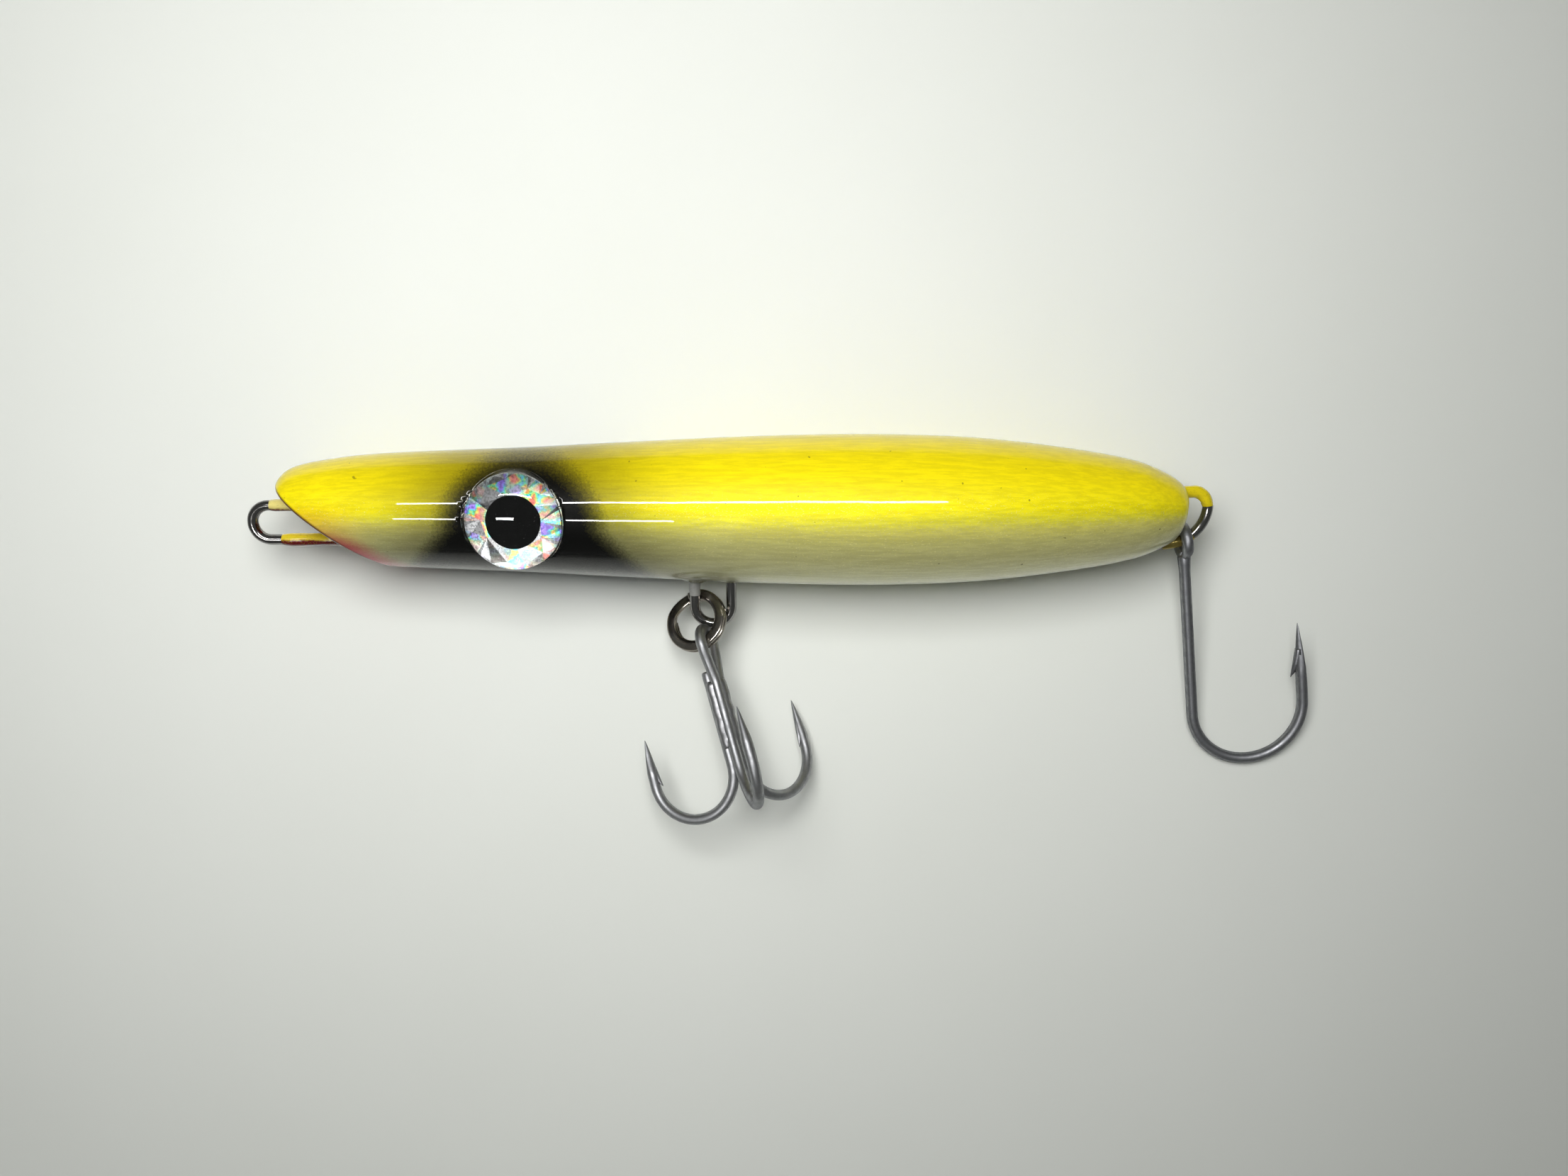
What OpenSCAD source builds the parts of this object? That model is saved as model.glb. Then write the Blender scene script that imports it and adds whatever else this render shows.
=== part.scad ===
// Topwater popper: a through-wired, turned wooden surface plug lying on its side on a table.
// The lure is drawn upright (nose at x = 0, tail along +X, back along +Z) and then laid on its side.
// The origin is the middle of the line tie's opening, and +Z points up out of the table.

/* [Body] */
// Largest radius of the turned body
body_r = 13.8; // [13.6:0.1:14.0]
// Angle between the slanted face and the body's axis
face_angle = 38; // [36:1:40]
// Height of the face's upper edge above the axis
face_top = 5.4; // [5:0.1:5.6]
// Roll of the back out of the table plane
roll = 15.5; // [13:0.5:17]

/* [Wire harness] */
// Diameter of the stainless through wire
wire_d = 1.9; // [1.6:0.1:1.9]
// Bend radius of the line tie, on the wire's centre line
tie_bend = 3.2; // [3:0.1:3.4]
// Distance of the belly loop's front leg from the nose
belly_loop_x = 75.2; // [75:0.1:75.4]
// Bend radius of the belly loop
belly_bend = 3.4; // [3.4:0.1:3.6]
// Depth of the belly loop below the axis
belly_drop = 21.7; // [21.5:0.1:21.9]

/* [Eyes] */
// Distance of the eyes from the nose
eye_x = 44.6; // [44:0.2:46]
// Radius of a clear eye dome
lens_r = 8.7; // [8.5:0.1:8.8]
// Radius of the foil disc under the dome
foil_r = 8.0; // [7.6:0.1:8.1]
// Radius of the black pupil
pupil_r = 4.5; // [4:0.1:5]

/* [Hooks] */
// Wire diameter of the treble
treble_wire = 1.95; // [1.8:0.05:2]
// Bend radius of each treble hook
treble_bend = 7.95; // [7.6:0.05:8.2]
// Wire diameter of the tail hook
tail_wire = 2.05; // [1.9:0.05:2.1]
// Bend radius of the tail hook
tail_bend = 10.5; // [10.2:0.1:10.8]
// Shank length of the tail hook, from its eye to its bend
tail_shank = 34.3; // [33:0.1:35]

/* [Split ring] */
// Outer radius of the split ring
ring_r = 6.0; // [5.9:0.05:6]
// Width of the flat ring wire, seen from above
ring_w = 2.0; // [1.9:0.05:2]

/* [Hidden] */
$fn = 48;

// Play between pieces that stay put
fit = 0.03;
yellow = [0.95, 0.86, 0.05];
pearl = [0.72, 0.72, 0.55];
tin = [0.55, 0.57, 0.6];
steel = [0.35, 0.34, 0.32];
lead = [0.4, 0.42, 0.45];

// The turned outline: distance from the nose and radius. Between stations it is a smooth cubic.
body_len = 165.2;
stations = [[0, 4.6], [1, 6.6], [3, 7.9], [7, 8.9], [17, 10.2], [45, 11.4], [80, 13.15], [107, body_r],
    [128, 13.05], [145, 11.05], [156, 8.9], [161, 6.9], [163.6, 5.3], [body_len, 3.6]];
last = len(stations) - 1;
cuts = 5;
function slope(i) = let (a = stations[max(i - 1, 0)], b = stations[min(i + 1, last)])
    (b[1] - a[1]) / (b[0] - a[0]);
function between(i, t) = let (a = stations[i], b = stations[i + 1], w = b[0] - a[0])
    [(2 * pow(t, 3) - 3 * pow(t, 2) + 1) * a[1] + (pow(t, 3) - 2 * pow(t, 2) + t) * w * slope(i)
    + (3 * pow(t, 2) - 2 * pow(t, 3)) * b[1] + (pow(t, 3) - pow(t, 2)) * w * slope(i + 1), a[0] + w * t];
outline = [for (i = [0:last - 1]) for (k = [0:cuts - 1]) between(i, k / cuts)];
// Lean of the tail's end face, whose upper edge reaches furthest back
end_lean = 10.5;

// Wire runs, as heights over the axis
tie_z = -2.4;
tie_x = -2.4;
front_run = tie_z + tie_bend;
rear_run = 3.35;
// Bends inside the body, and how deep the wire's free end is set in
turn = 2.5;
buried = 24;
belly_back_x = belly_loop_x + 2 * belly_bend;
belly_end = belly_bend - belly_drop;

// The tail loop: a small arc above and a wide one below, along which the tail hook's eye slides
top_bend = 3.0;
top_x = 166.3;
top_z = rear_run - top_bend;
wide_bend = 7.0;
wide_from = -5;
wide_to = -80;
wide_x = top_x - (wide_bend - top_bend) * cos(wide_from);
wide_z = top_z - (wide_bend - top_bend) * sin(wide_from);
leg_x = wide_x + wide_bend * cos(wide_to);
leg_z = wide_z + wide_bend * sin(wide_to);
leg_len = 15;

// Sawn wire slot, and each slug's distance from the nose, radius and top
slot_w = 2.4;
belly_slug = [94, 4.0, -3.5];
tail_slug = [128, 2.5, -4.5];
cap_depth = 1.6;
// Height of the eye sockets' floor off the middle plane, and the thickness of foil and pupil
seat = 9.6;
skin = 0.15;
// Dome of the lens: its radius and its top above the middle plane
dome_r = 12.2;
dome_top = 13.6;

// Paint and epoxy on the wire: thickness, and start and end along each run
thick_coat = 0.2;
thin_coat = 0.1;
upper_coat = [0.4, 9];
lower_coat = [1.2, 16];
belly_coat_at = [-15.8, 2.6];
tail_top_coat_end = 12;
tail_wide_coat = [-52, -70];

// The split ring's middle from the nose on the body's axis, and its tilt
ring_at = [75.45, -20.45, -5.24];
ring_tilt = [-18, -25, 0];
// Thickness of one turn, its rounded edge, and the gap beside the step, with the step's bearing
ring_t = 0.95;
ring_round = 0.3;
ring_gap = 0.4;
ring_step = 150;

// The treble's eye, and how its shank points: heading in the table plane, rise and spin
treble_at = [77.1, -24.8, -2.8];
treble_heading = -73.75;
treble_rise = 8.6;
treble_spin = 17.2;
treble_eye = 2.9;
treble_shank = 22.6;
// Height of the point over the bend's middle, and the length of its taper
treble_spear = 8.9;
treble_point = 6;
// Distance of each shank from the treble's middle line, and where the eye's strands meet the shanks
bundle = treble_wire / sqrt(3) + 0.02;
joined_at = 6.4;
strand_x = bundle * cos(30);
strand_reach = norm([strand_x, joined_at]);
strand_lean = atan2(joined_at, strand_x) - acos(treble_eye / strand_reach);
strand_len = sqrt(pow(strand_reach, 2) - pow(treble_eye, 2));
third_from = joined_at - 1;
braze_from = joined_at + 1;
braze_len = 12;
braze_r = 1.75;

// The tail hook's eye on the wide arc, the lean of its shank and its lift off the table
hook_at_angle = -65;
hook_play = 0.25;
tail_eye = 2.65;
tail_lean = 7.9;
tail_lift = 0.4;
tail_spear = 15.5;
tail_point = 9;
hook_x = wide_x + (wide_bend + hook_play) * cos(hook_at_angle);
hook_z = wide_z + (wide_bend + hook_play) * sin(hook_at_angle);

// ---- placing ----

// From the axis frame, whose zero is the nose's tip, to the line tie
module on_table() {
    translate([-tie_x, -tie_z * cos(roll), -tie_z * sin(roll)]) children();
}

// From the upright lure to the lying one
module laid() {
    on_table() rotate([roll - 90, 0, 0]) children();
}

// ---- shared shapes, in the upright lure ----

module body_form() {
    difference() {
        rotate([0, 90, 0]) rotate_extrude()
            polygon(concat([[0, 0]], outline, [[stations[last][1], body_len], [0, body_len]]));
        ahead_of_face();
        translate([body_len, 0, rear_run]) rotate([0, end_lean, 0])
            translate([0, -20, -30]) cube([20, 40, 60]);
    }
}

// Everything in front of the slanted face
module ahead_of_face() {
    translate([0, 0, face_top]) rotate([0, face_angle, 0])
        translate([-50, -50, -60]) cube([100, 100, 60]);
}

module rod_x(x1, x2, z, d) {
    translate([x1, 0, z]) rotate([0, 90, 0]) cylinder(d = d, h = x2 - x1);
}

module rod_z(x, z1, z2, d) {
    translate([x, 0, z1]) cylinder(d = d, h = z2 - z1);
}

// A bend in the lure's middle plane; angles run from +X towards the back
module bend(x, z, r, a1, a2, d) {
    translate([x, 0, z]) rotate([90, 0, 0]) rotate([0, 0, a1])
        rotate_extrude(angle = a2 - a1) translate([r, 0]) circle(d = d);
}

// A slight swelling that closes the joint between two bends
module knuckle(x, z, d) {
    translate([x, 0, z]) sphere(d = d + 0.06);
}

module tail_arcs(d) {
    bend(top_x, top_z, top_bend, 90, wide_from, d);
    knuckle(top_x, rear_run, d);
    knuckle(top_x + top_bend * cos(wide_from), top_z + top_bend * sin(wide_from), d);
    bend(wide_x, wide_z, wide_bend, wide_to, wide_from, d);
    knuckle(leg_x, leg_z, d);
}

module tail_leg(d) {
    translate([leg_x, 0, leg_z]) rotate([0, -180 - wide_to, 0]) cylinder(d = d, h = leg_len);
}

// Section of a coat around the wire
module wire_skin(thick) {
    difference() {
        circle(d = wire_d + 2 * thick);
        circle(d = wire_d + 2 * fit);
    }
}

module tube_x(x1, x2, z, thick) {
    translate([x1, 0, z]) rotate([0, 90, 0]) linear_extrude(x2 - x1) wire_skin(thick);
}

module tube_bend(x, z, r, a1, a2, thick) {
    translate([x, 0, z]) rotate([90, 0, 0]) rotate([0, 0, a1])
        rotate_extrude(angle = a2 - a1) translate([r, 0]) wire_skin(thick);
}

module harness(d) {
    rod_x(tie_x, buried, tie_z - tie_bend, d);
    bend(tie_x, tie_z, tie_bend, 90, 270, d);
    rod_x(tie_x, belly_loop_x - turn, front_run, d);
    bend(belly_loop_x - turn, front_run - turn, turn, 0, 90, d);
    rod_z(belly_loop_x, belly_end, front_run - turn, d);
    bend(belly_loop_x + belly_bend, belly_end, belly_bend, 180, 360, d);
    rod_z(belly_back_x, belly_end, rear_run - turn, d);
    bend(belly_back_x + turn, rear_run - turn, turn, 90, 180, d);
    rod_x(belly_back_x + turn, top_x, rear_run, d);
    tail_arcs(d);
    tail_leg(d);
}

module slug_bore(slug, grow = 0) {
    translate([slug[0], 0, -20]) cylinder(r = slug[1] + grow, h = 20 + slug[2] + grow);
}

module slot() {
    translate([-1, -slot_w / 2, -20]) cube([body_len + 2, slot_w, 20 + rear_run + wire_d / 2 + fit]);
}

// A slug fills its bore up to the cap below it
module slug(s) {
    translate([s[0], 0, -body_r + 2 * cap_depth]) cylinder(r = s[1], h = body_r - 2 * cap_depth + s[2]);
}

module slug_cap(s) {
    intersection() {
        body_form();
        translate([s[0], 0, -20]) cylinder(r = s[1], h = 20 - body_r + 2 * cap_depth - fit);
    }
}

// side is -1 for the eye that faces up and 1 for the one on the table
module on_side(side) {
    translate([eye_x, 0, 0]) rotate([-90 * side, 0, 0]) children();
}

// ---- hooks, with the shank hanging from the origin along -Z and the gap towards +X ----

module bent_hook(wire, shank, radius, spear, point) {
    translate([0, 0, -shank]) cylinder(d = wire, h = shank);
    translate([radius, 0, -shank]) rotate([90, 0, 0]) rotate([0, 0, 180])
        rotate_extrude(angle = 180) translate([radius, 0]) circle(d = wire);
    translate([2 * radius, 0, -shank]) {
        cylinder(d = wire, h = spear - point);
        translate([0, 0, spear - point]) cylinder(d1 = wire, d2 = 0.2, h = point);
        // Barb: a sliver cut up from the inner side of the spear
        translate([-wire * 0.2, 0, spear - point + 0.4]) rotate([0, 205, 0])
            cylinder(d1 = wire * 0.45, d2 = 0.15, h = point * 0.42);
    }
}

module treble_hook(azimuth, from) {
    rotate([0, 0, azimuth]) translate([bundle, 0, from])
        bent_hook(treble_wire, treble_shank + from, treble_bend, treble_spear, treble_point);
}

// One strand of the treble's eye, from its bend to the bundle
module eye_strand() {
    translate([treble_eye * cos(strand_lean), 0, -treble_eye * sin(strand_lean)])
        rotate([0, 180 + strand_lean, 0]) cylinder(d = treble_wire, h = strand_len);
    // A slight swelling closes the joint with the shank
    translate([strand_x, 0, -joined_at]) sphere(d = treble_wire + 0.02);
}

module laid_treble() {
    on_table() translate(treble_at) rotate([0, 90 - treble_rise, treble_heading])
        rotate([0, 0, treble_spin]) rotate([180, 0, 0]) children();
}

// ---- nodes ----

module wood_body() {
    color(yellow) laid() difference() {
        body_form();
        slot();
        slug_bore(belly_slug, fit);
        slug_bore(tail_slug, fit);
        for (side = [-1, 1]) on_side(side)
            translate([0, 0, seat]) cylinder(r = lens_r + fit, h = 20);
    }
}

module slot_filler() {
    color(pearl) laid() difference() {
        intersection() {
            body_form();
            translate([-1, -slot_w / 2 + fit, -20])
                cube([body_len + 2, slot_w - 2 * fit, 20 + rear_run + wire_d / 2]);
        }
        harness(wire_d + 2 * fit);
        slug_bore(belly_slug, fit);
        slug_bore(tail_slug, fit);
    }
}

module wire_harness() {
    color(steel) laid() harness(wire_d);
}

module belly_weight() {
    color(lead) laid() slug(belly_slug);
}

module belly_weight_cap() {
    color(pearl) laid() slug_cap(belly_slug);
}

module tail_weight() {
    color(lead) laid() slug(tail_slug);
}

module tail_weight_cap() {
    color(pearl) laid() slug_cap(tail_slug);
}

module eye_foil(side) {
    color("silver") laid() on_side(side) translate([0, 0, seat + fit])
        cylinder(r = foil_r, h = skin);
}

module eye_pupil(side) {
    color("black") laid() on_side(side) translate([0, 0, seat + skin + 2 * fit])
        cylinder(r = pupil_r, h = skin);
}

// The dome stands proud of the body and has a flat floor with a recess for foil and pupil
module eye_lens(side) {
    color([0.9, 0.95, 1, 0.4]) laid() on_side(side) difference() {
        intersection() {
            translate([0, 0, seat + fit]) cylinder(r = lens_r, h = 6);
            translate([0, 0, dome_top - dome_r]) sphere(r = dome_r);
        }
        cylinder(r = foil_r + fit, h = seat + 2 * skin + 3 * fit);
    }
}

module nose_coat_upper() {
    color(yellow) laid() intersection() {
        tube_x(upper_coat[0], upper_coat[1], front_run, thick_coat);
        ahead_of_face();
    }
}

module nose_coat_lower() {
    color([0.6, 0.1, 0.1]) laid() intersection() {
        tube_x(lower_coat[0], lower_coat[1], tie_z - tie_bend, thick_coat);
        ahead_of_face();
    }
}

module belly_coat() {
    color(tin) laid() translate([belly_loop_x, 0, belly_coat_at[0]])
        linear_extrude(belly_coat_at[1]) wire_skin(thin_coat);
}

module tail_coat_upper() {
    color(yellow) laid() {
        tube_x(body_len + thick_coat, top_x, rear_run, thick_coat);
        tube_bend(top_x, top_z, top_bend, 90, tail_top_coat_end, thick_coat);
    }
}

module tail_coat_lower() {
    color([0.7, 0.65, 0.3]) laid()
        tube_bend(wide_x, wide_z, wide_bend, tail_wide_coat[0], tail_wide_coat[1], thin_coat);
}

// Two turns of flat wire; each has a free end beside the step between them
module split_ring() {
    color(steel) on_table() translate(ring_at) rotate(ring_tilt) difference() {
        union() for (side = [-1, 1]) translate([0, 0, side * ring_t / 2 - 0.01 * side])
            rotate_extrude() translate([ring_r - ring_w / 2, 0]) ring_section();
        for (side = [-1, 1]) rotate([0, 0, ring_step + 6 * side])
            translate([0, -ring_gap / 2, side > 0 ? 0.15 : -2.15]) cube([8, ring_gap, 2]);
    }
}

module ring_section() {
    square([ring_w, ring_t - 2 * ring_round], center = true);
    square([ring_w - 2 * ring_round, ring_t], center = true);
    for (x = [-1, 1]) for (y = [-1, 1])
        translate([x * (ring_w / 2 - ring_round), y * (ring_t / 2 - ring_round)]) circle(r = ring_round);
}

module treble_double_hook() {
    color(tin) laid_treble() {
        translate([0, -bundle / 2, 0]) {
            rotate([90, 0, 0]) rotate([0, 0, -strand_lean]) rotate_extrude(angle = 180 + 2 * strand_lean)
                translate([treble_eye, 0]) circle(d = treble_wire);
            eye_strand();
            mirror([1, 0, 0]) eye_strand();
        }
        treble_hook(-30, -joined_at);
        treble_hook(-150, -joined_at);
    }
}

module treble_third_hook() {
    color(tin) laid_treble() treble_hook(90, -third_from);
}

// Braze in the valleys between the three shanks
module treble_braze() {
    color([0.5, 0.5, 0.47]) laid_treble() difference() {
        translate([0, 0, -braze_from - braze_len]) cylinder(r = braze_r, h = braze_len);
        for (azimuth = [-150, -30, 90]) rotate([0, 0, azimuth]) translate([bundle, 0, -treble_shank])
            cylinder(d = treble_wire + 2 * fit, h = treble_shank);
    }
}

// A J hook whose eye stands across its bend
module tail_hook() {
    color(tin) laid() translate([hook_x, 0, hook_z]) rotate([-tail_lift, 0, 0]) rotate([0, -tail_lean, 0]) {
        rotate([0, 90, 0]) rotate_extrude() translate([tail_eye, 0]) circle(d = tail_wire);
        difference() {
            bent_hook(tail_wire, tail_shank, tail_bend, tail_spear, tail_point);
            // The shank starts at the eye's lower edge
            translate([0, 0, -tail_eye]) cylinder(d = 2 * tail_wire, h = 2 * tail_eye);
        }
    }
}

wood_body();
slot_filler();
wire_harness();
belly_weight();
belly_weight_cap();
tail_weight();
tail_weight_cap();
eye_foil(-1);  // eye_foil_near
eye_foil(1);  // eye_foil_far
eye_pupil(-1);  // eye_pupil_near
eye_pupil(1);  // eye_pupil_far
eye_lens(-1);  // eye_lens_near
eye_lens(1);  // eye_lens_far
nose_coat_upper();
nose_coat_lower();
belly_coat();
tail_coat_upper();
tail_coat_lower();
split_ring();
treble_double_hook();
treble_third_hook();
treble_braze();
tail_hook();
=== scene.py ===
"""Looks of the topwater popper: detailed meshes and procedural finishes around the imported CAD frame.

Most pieces are built in the upright lure's millimetres (x from the nose's tip, y away from the eye that
faces up, z towards the back) and turned onto the table by lure(); ring and treble have frames of their own.
"""
import bmesh
import bpy
import math
import numpy as np
from mathutils import Matrix, Vector
from mathutils.geometry import delaunay_2d_cdt


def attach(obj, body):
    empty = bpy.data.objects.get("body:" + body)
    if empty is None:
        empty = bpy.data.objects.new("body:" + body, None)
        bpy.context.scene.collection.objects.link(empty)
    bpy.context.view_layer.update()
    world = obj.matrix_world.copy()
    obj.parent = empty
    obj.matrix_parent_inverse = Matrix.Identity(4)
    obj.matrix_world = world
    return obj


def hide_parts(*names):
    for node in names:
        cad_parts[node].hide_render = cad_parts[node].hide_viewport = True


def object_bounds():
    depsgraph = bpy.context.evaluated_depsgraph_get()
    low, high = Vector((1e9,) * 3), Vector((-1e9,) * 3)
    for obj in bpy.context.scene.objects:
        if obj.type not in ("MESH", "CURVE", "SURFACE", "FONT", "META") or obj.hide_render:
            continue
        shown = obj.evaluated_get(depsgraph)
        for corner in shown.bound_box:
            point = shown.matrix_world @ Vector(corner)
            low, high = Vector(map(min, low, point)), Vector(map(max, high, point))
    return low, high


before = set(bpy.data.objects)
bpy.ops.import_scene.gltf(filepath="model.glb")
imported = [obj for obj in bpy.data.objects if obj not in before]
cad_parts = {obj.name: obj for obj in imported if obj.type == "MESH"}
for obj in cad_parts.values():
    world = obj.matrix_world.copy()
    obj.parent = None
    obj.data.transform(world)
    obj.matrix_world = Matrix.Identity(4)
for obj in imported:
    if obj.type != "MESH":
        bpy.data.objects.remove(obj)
cad_low, cad_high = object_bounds()
scene = bpy.context.scene

# ---- the CAD's frame ----

ROLL = math.radians(15.5)
S, C = math.sin(ROLL), math.cos(ROLL)
TIE = -2.4
WIRE = 1.9
BODY_LEN = 165.2
SLOT_W = 2.4
FACE_ANGLE = math.radians(38)
# Slopes of the slanted face and the tail's end face
ENDS = (math.tan(FACE_ANGLE), math.tan(math.radians(10.5)))
FACE_TOP = 5.4


def lure(p):
    """Upright lure millimetres to row metres."""
    p = np.asarray(p, float)
    q = np.empty_like(p)
    q[..., 0] = p[..., 0] - TIE
    q[..., 1] = p[..., 1] * S + (p[..., 2] - TIE) * C
    q[..., 2] = -p[..., 1] * C + (p[..., 2] - TIE) * S
    return q / 1000


def turn(x, y, z):
    """Rotation matrix of x, then y, then z degrees."""
    m = Matrix.Rotation(math.radians(z), 3, "Z") @ Matrix.Rotation(math.radians(y), 3, "Y")
    return np.array(m @ Matrix.Rotation(math.radians(x), 3, "X"))


AXIS_AT = np.array([-TIE, -TIE * C, -TIE * S])
RING_AT = AXIS_AT + np.array([75.45, -20.45, -5.24])
RING_TURN = turn(-18, -25, 0)
TREBLE_AT = AXIS_AT + np.array([77.1, -24.8, -2.8])
TREBLE_TURN = turn(0, 90 - 8.6, -73.75) @ turn(0, 0, 17.2) @ turn(180, 0, 0)


def ring_frame(p):
    return (RING_AT + np.asarray(p, float) @ RING_TURN.T) / 1000


def treble_frame(p):
    return (TREBLE_AT + np.asarray(p, float) @ TREBLE_TURN.T) / 1000


# ---- node helpers ----

class Mat:
    """A node material with its Principled shader; p is the lure's millimetres on the surface."""

    def __init__(self, name):
        self.mat = bpy.data.materials.new(name)
        self.mat.use_nodes = True
        self.nt = self.mat.node_tree
        self.nt.nodes.clear()
        self.out = self.nt.nodes.new("ShaderNodeOutputMaterial")
        self.bsdf = self.nt.nodes.new("ShaderNodeBsdfPrincipled")
        self.nt.links.new(self.bsdf.outputs[0], self.out.inputs[0])
        tc = self.nt.nodes.new("ShaderNodeTexCoord")
        self.obj = tc.outputs["Object"]
        m = self.nt.nodes.new("ShaderNodeMapping")
        m.inputs["Scale"].default_value = (1000, 1000, 1000)
        m.inputs["Rotation"].default_value = (math.pi / 2 - ROLL, 0, 0)
        m.inputs["Location"].default_value = (TIE, 0, TIE)
        self.nt.links.new(self.obj, m.inputs["Vector"])
        self.p = m.outputs[0]
        s = self.nt.nodes.new("ShaderNodeSeparateXYZ")
        self.nt.links.new(self.p, s.inputs[0])
        self.x, self.y, self.z = s.outputs

    def put(self, socket, value):
        if isinstance(value, bpy.types.NodeSocket):
            self.nt.links.new(value, socket)
        else:
            socket.default_value = value

    def set(self, **values):
        for key, value in values.items():
            self.put(self.bsdf.inputs[key.replace("_", " ")], value)
        return self

    def math(self, op, a, b=None, c=None, clamp=False):
        n = self.nt.nodes.new("ShaderNodeMath")
        n.operation = op
        n.use_clamp = clamp
        for i, v in enumerate((a, b, c)):
            if v is not None:
                self.put(n.inputs[i], v)
        return n.outputs[0]

    def step(self, v, lo, hi, out_lo=0.0, out_hi=1.0):
        n = self.nt.nodes.new("ShaderNodeMapRange")
        n.interpolation_type = "SMOOTHSTEP"
        if lo > hi:
            lo, hi, out_lo, out_hi = hi, lo, out_hi, out_lo
        for i, val in enumerate((v, lo, hi, out_lo, out_hi)):
            self.put(n.inputs[i], val)
        return n.outputs[0]

    def ramp(self, fac, stops):
        n = self.nt.nodes.new("ShaderNodeValToRGB")
        e = n.color_ramp.elements
        while len(e) < len(stops):
            e.new(0.5)
        for i, (pos, col) in enumerate(stops):
            e[i].position = pos
            e[i].color = (*col, 1)
        self.put(n.inputs[0], fac)
        return n.outputs[0]

    def mix(self, fac, a, b, mode="MIX"):
        n = self.nt.nodes.new("ShaderNodeMix")
        n.data_type = "RGBA"
        n.blend_type = mode
        self.put(n.inputs[0], fac)
        for i, v in ((6, a), (7, b)):
            self.put(n.inputs[i], v if isinstance(v, bpy.types.NodeSocket) else (*v, 1))
        return n.outputs[2]

    def noise(self, scale, detail=3, rough=0.5, stretch=None, vector=None):
        v = vector or self.p
        if stretch:
            m = self.nt.nodes.new("ShaderNodeMapping")
            m.inputs["Scale"].default_value = stretch
            self.put(m.inputs["Vector"], v)
            v = m.outputs[0]
        n = self.nt.nodes.new("ShaderNodeTexNoise")
        self.put(n.inputs["Vector"], v)
        n.inputs["Scale"].default_value = scale
        n.inputs["Detail"].default_value = detail
        n.inputs["Roughness"].default_value = rough
        return n.outputs[0]

    def bump(self, height, strength, mm, coat=False):
        n = self.nt.nodes.new("ShaderNodeBump")
        n.inputs["Strength"].default_value = strength
        n.inputs["Distance"].default_value = mm / 1000
        self.put(n.inputs["Height"], height)
        self.nt.links.new(n.outputs[0], self.bsdf.inputs["Coat Normal" if coat else "Normal"])
        return self


def srgb(r, g, b):
    return tuple(((c / 255 + 0.055) / 1.055) ** 2.4 if c > 10 else c / 255 / 12.92 for c in (r, g, b))


# ---- materials ----

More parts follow.
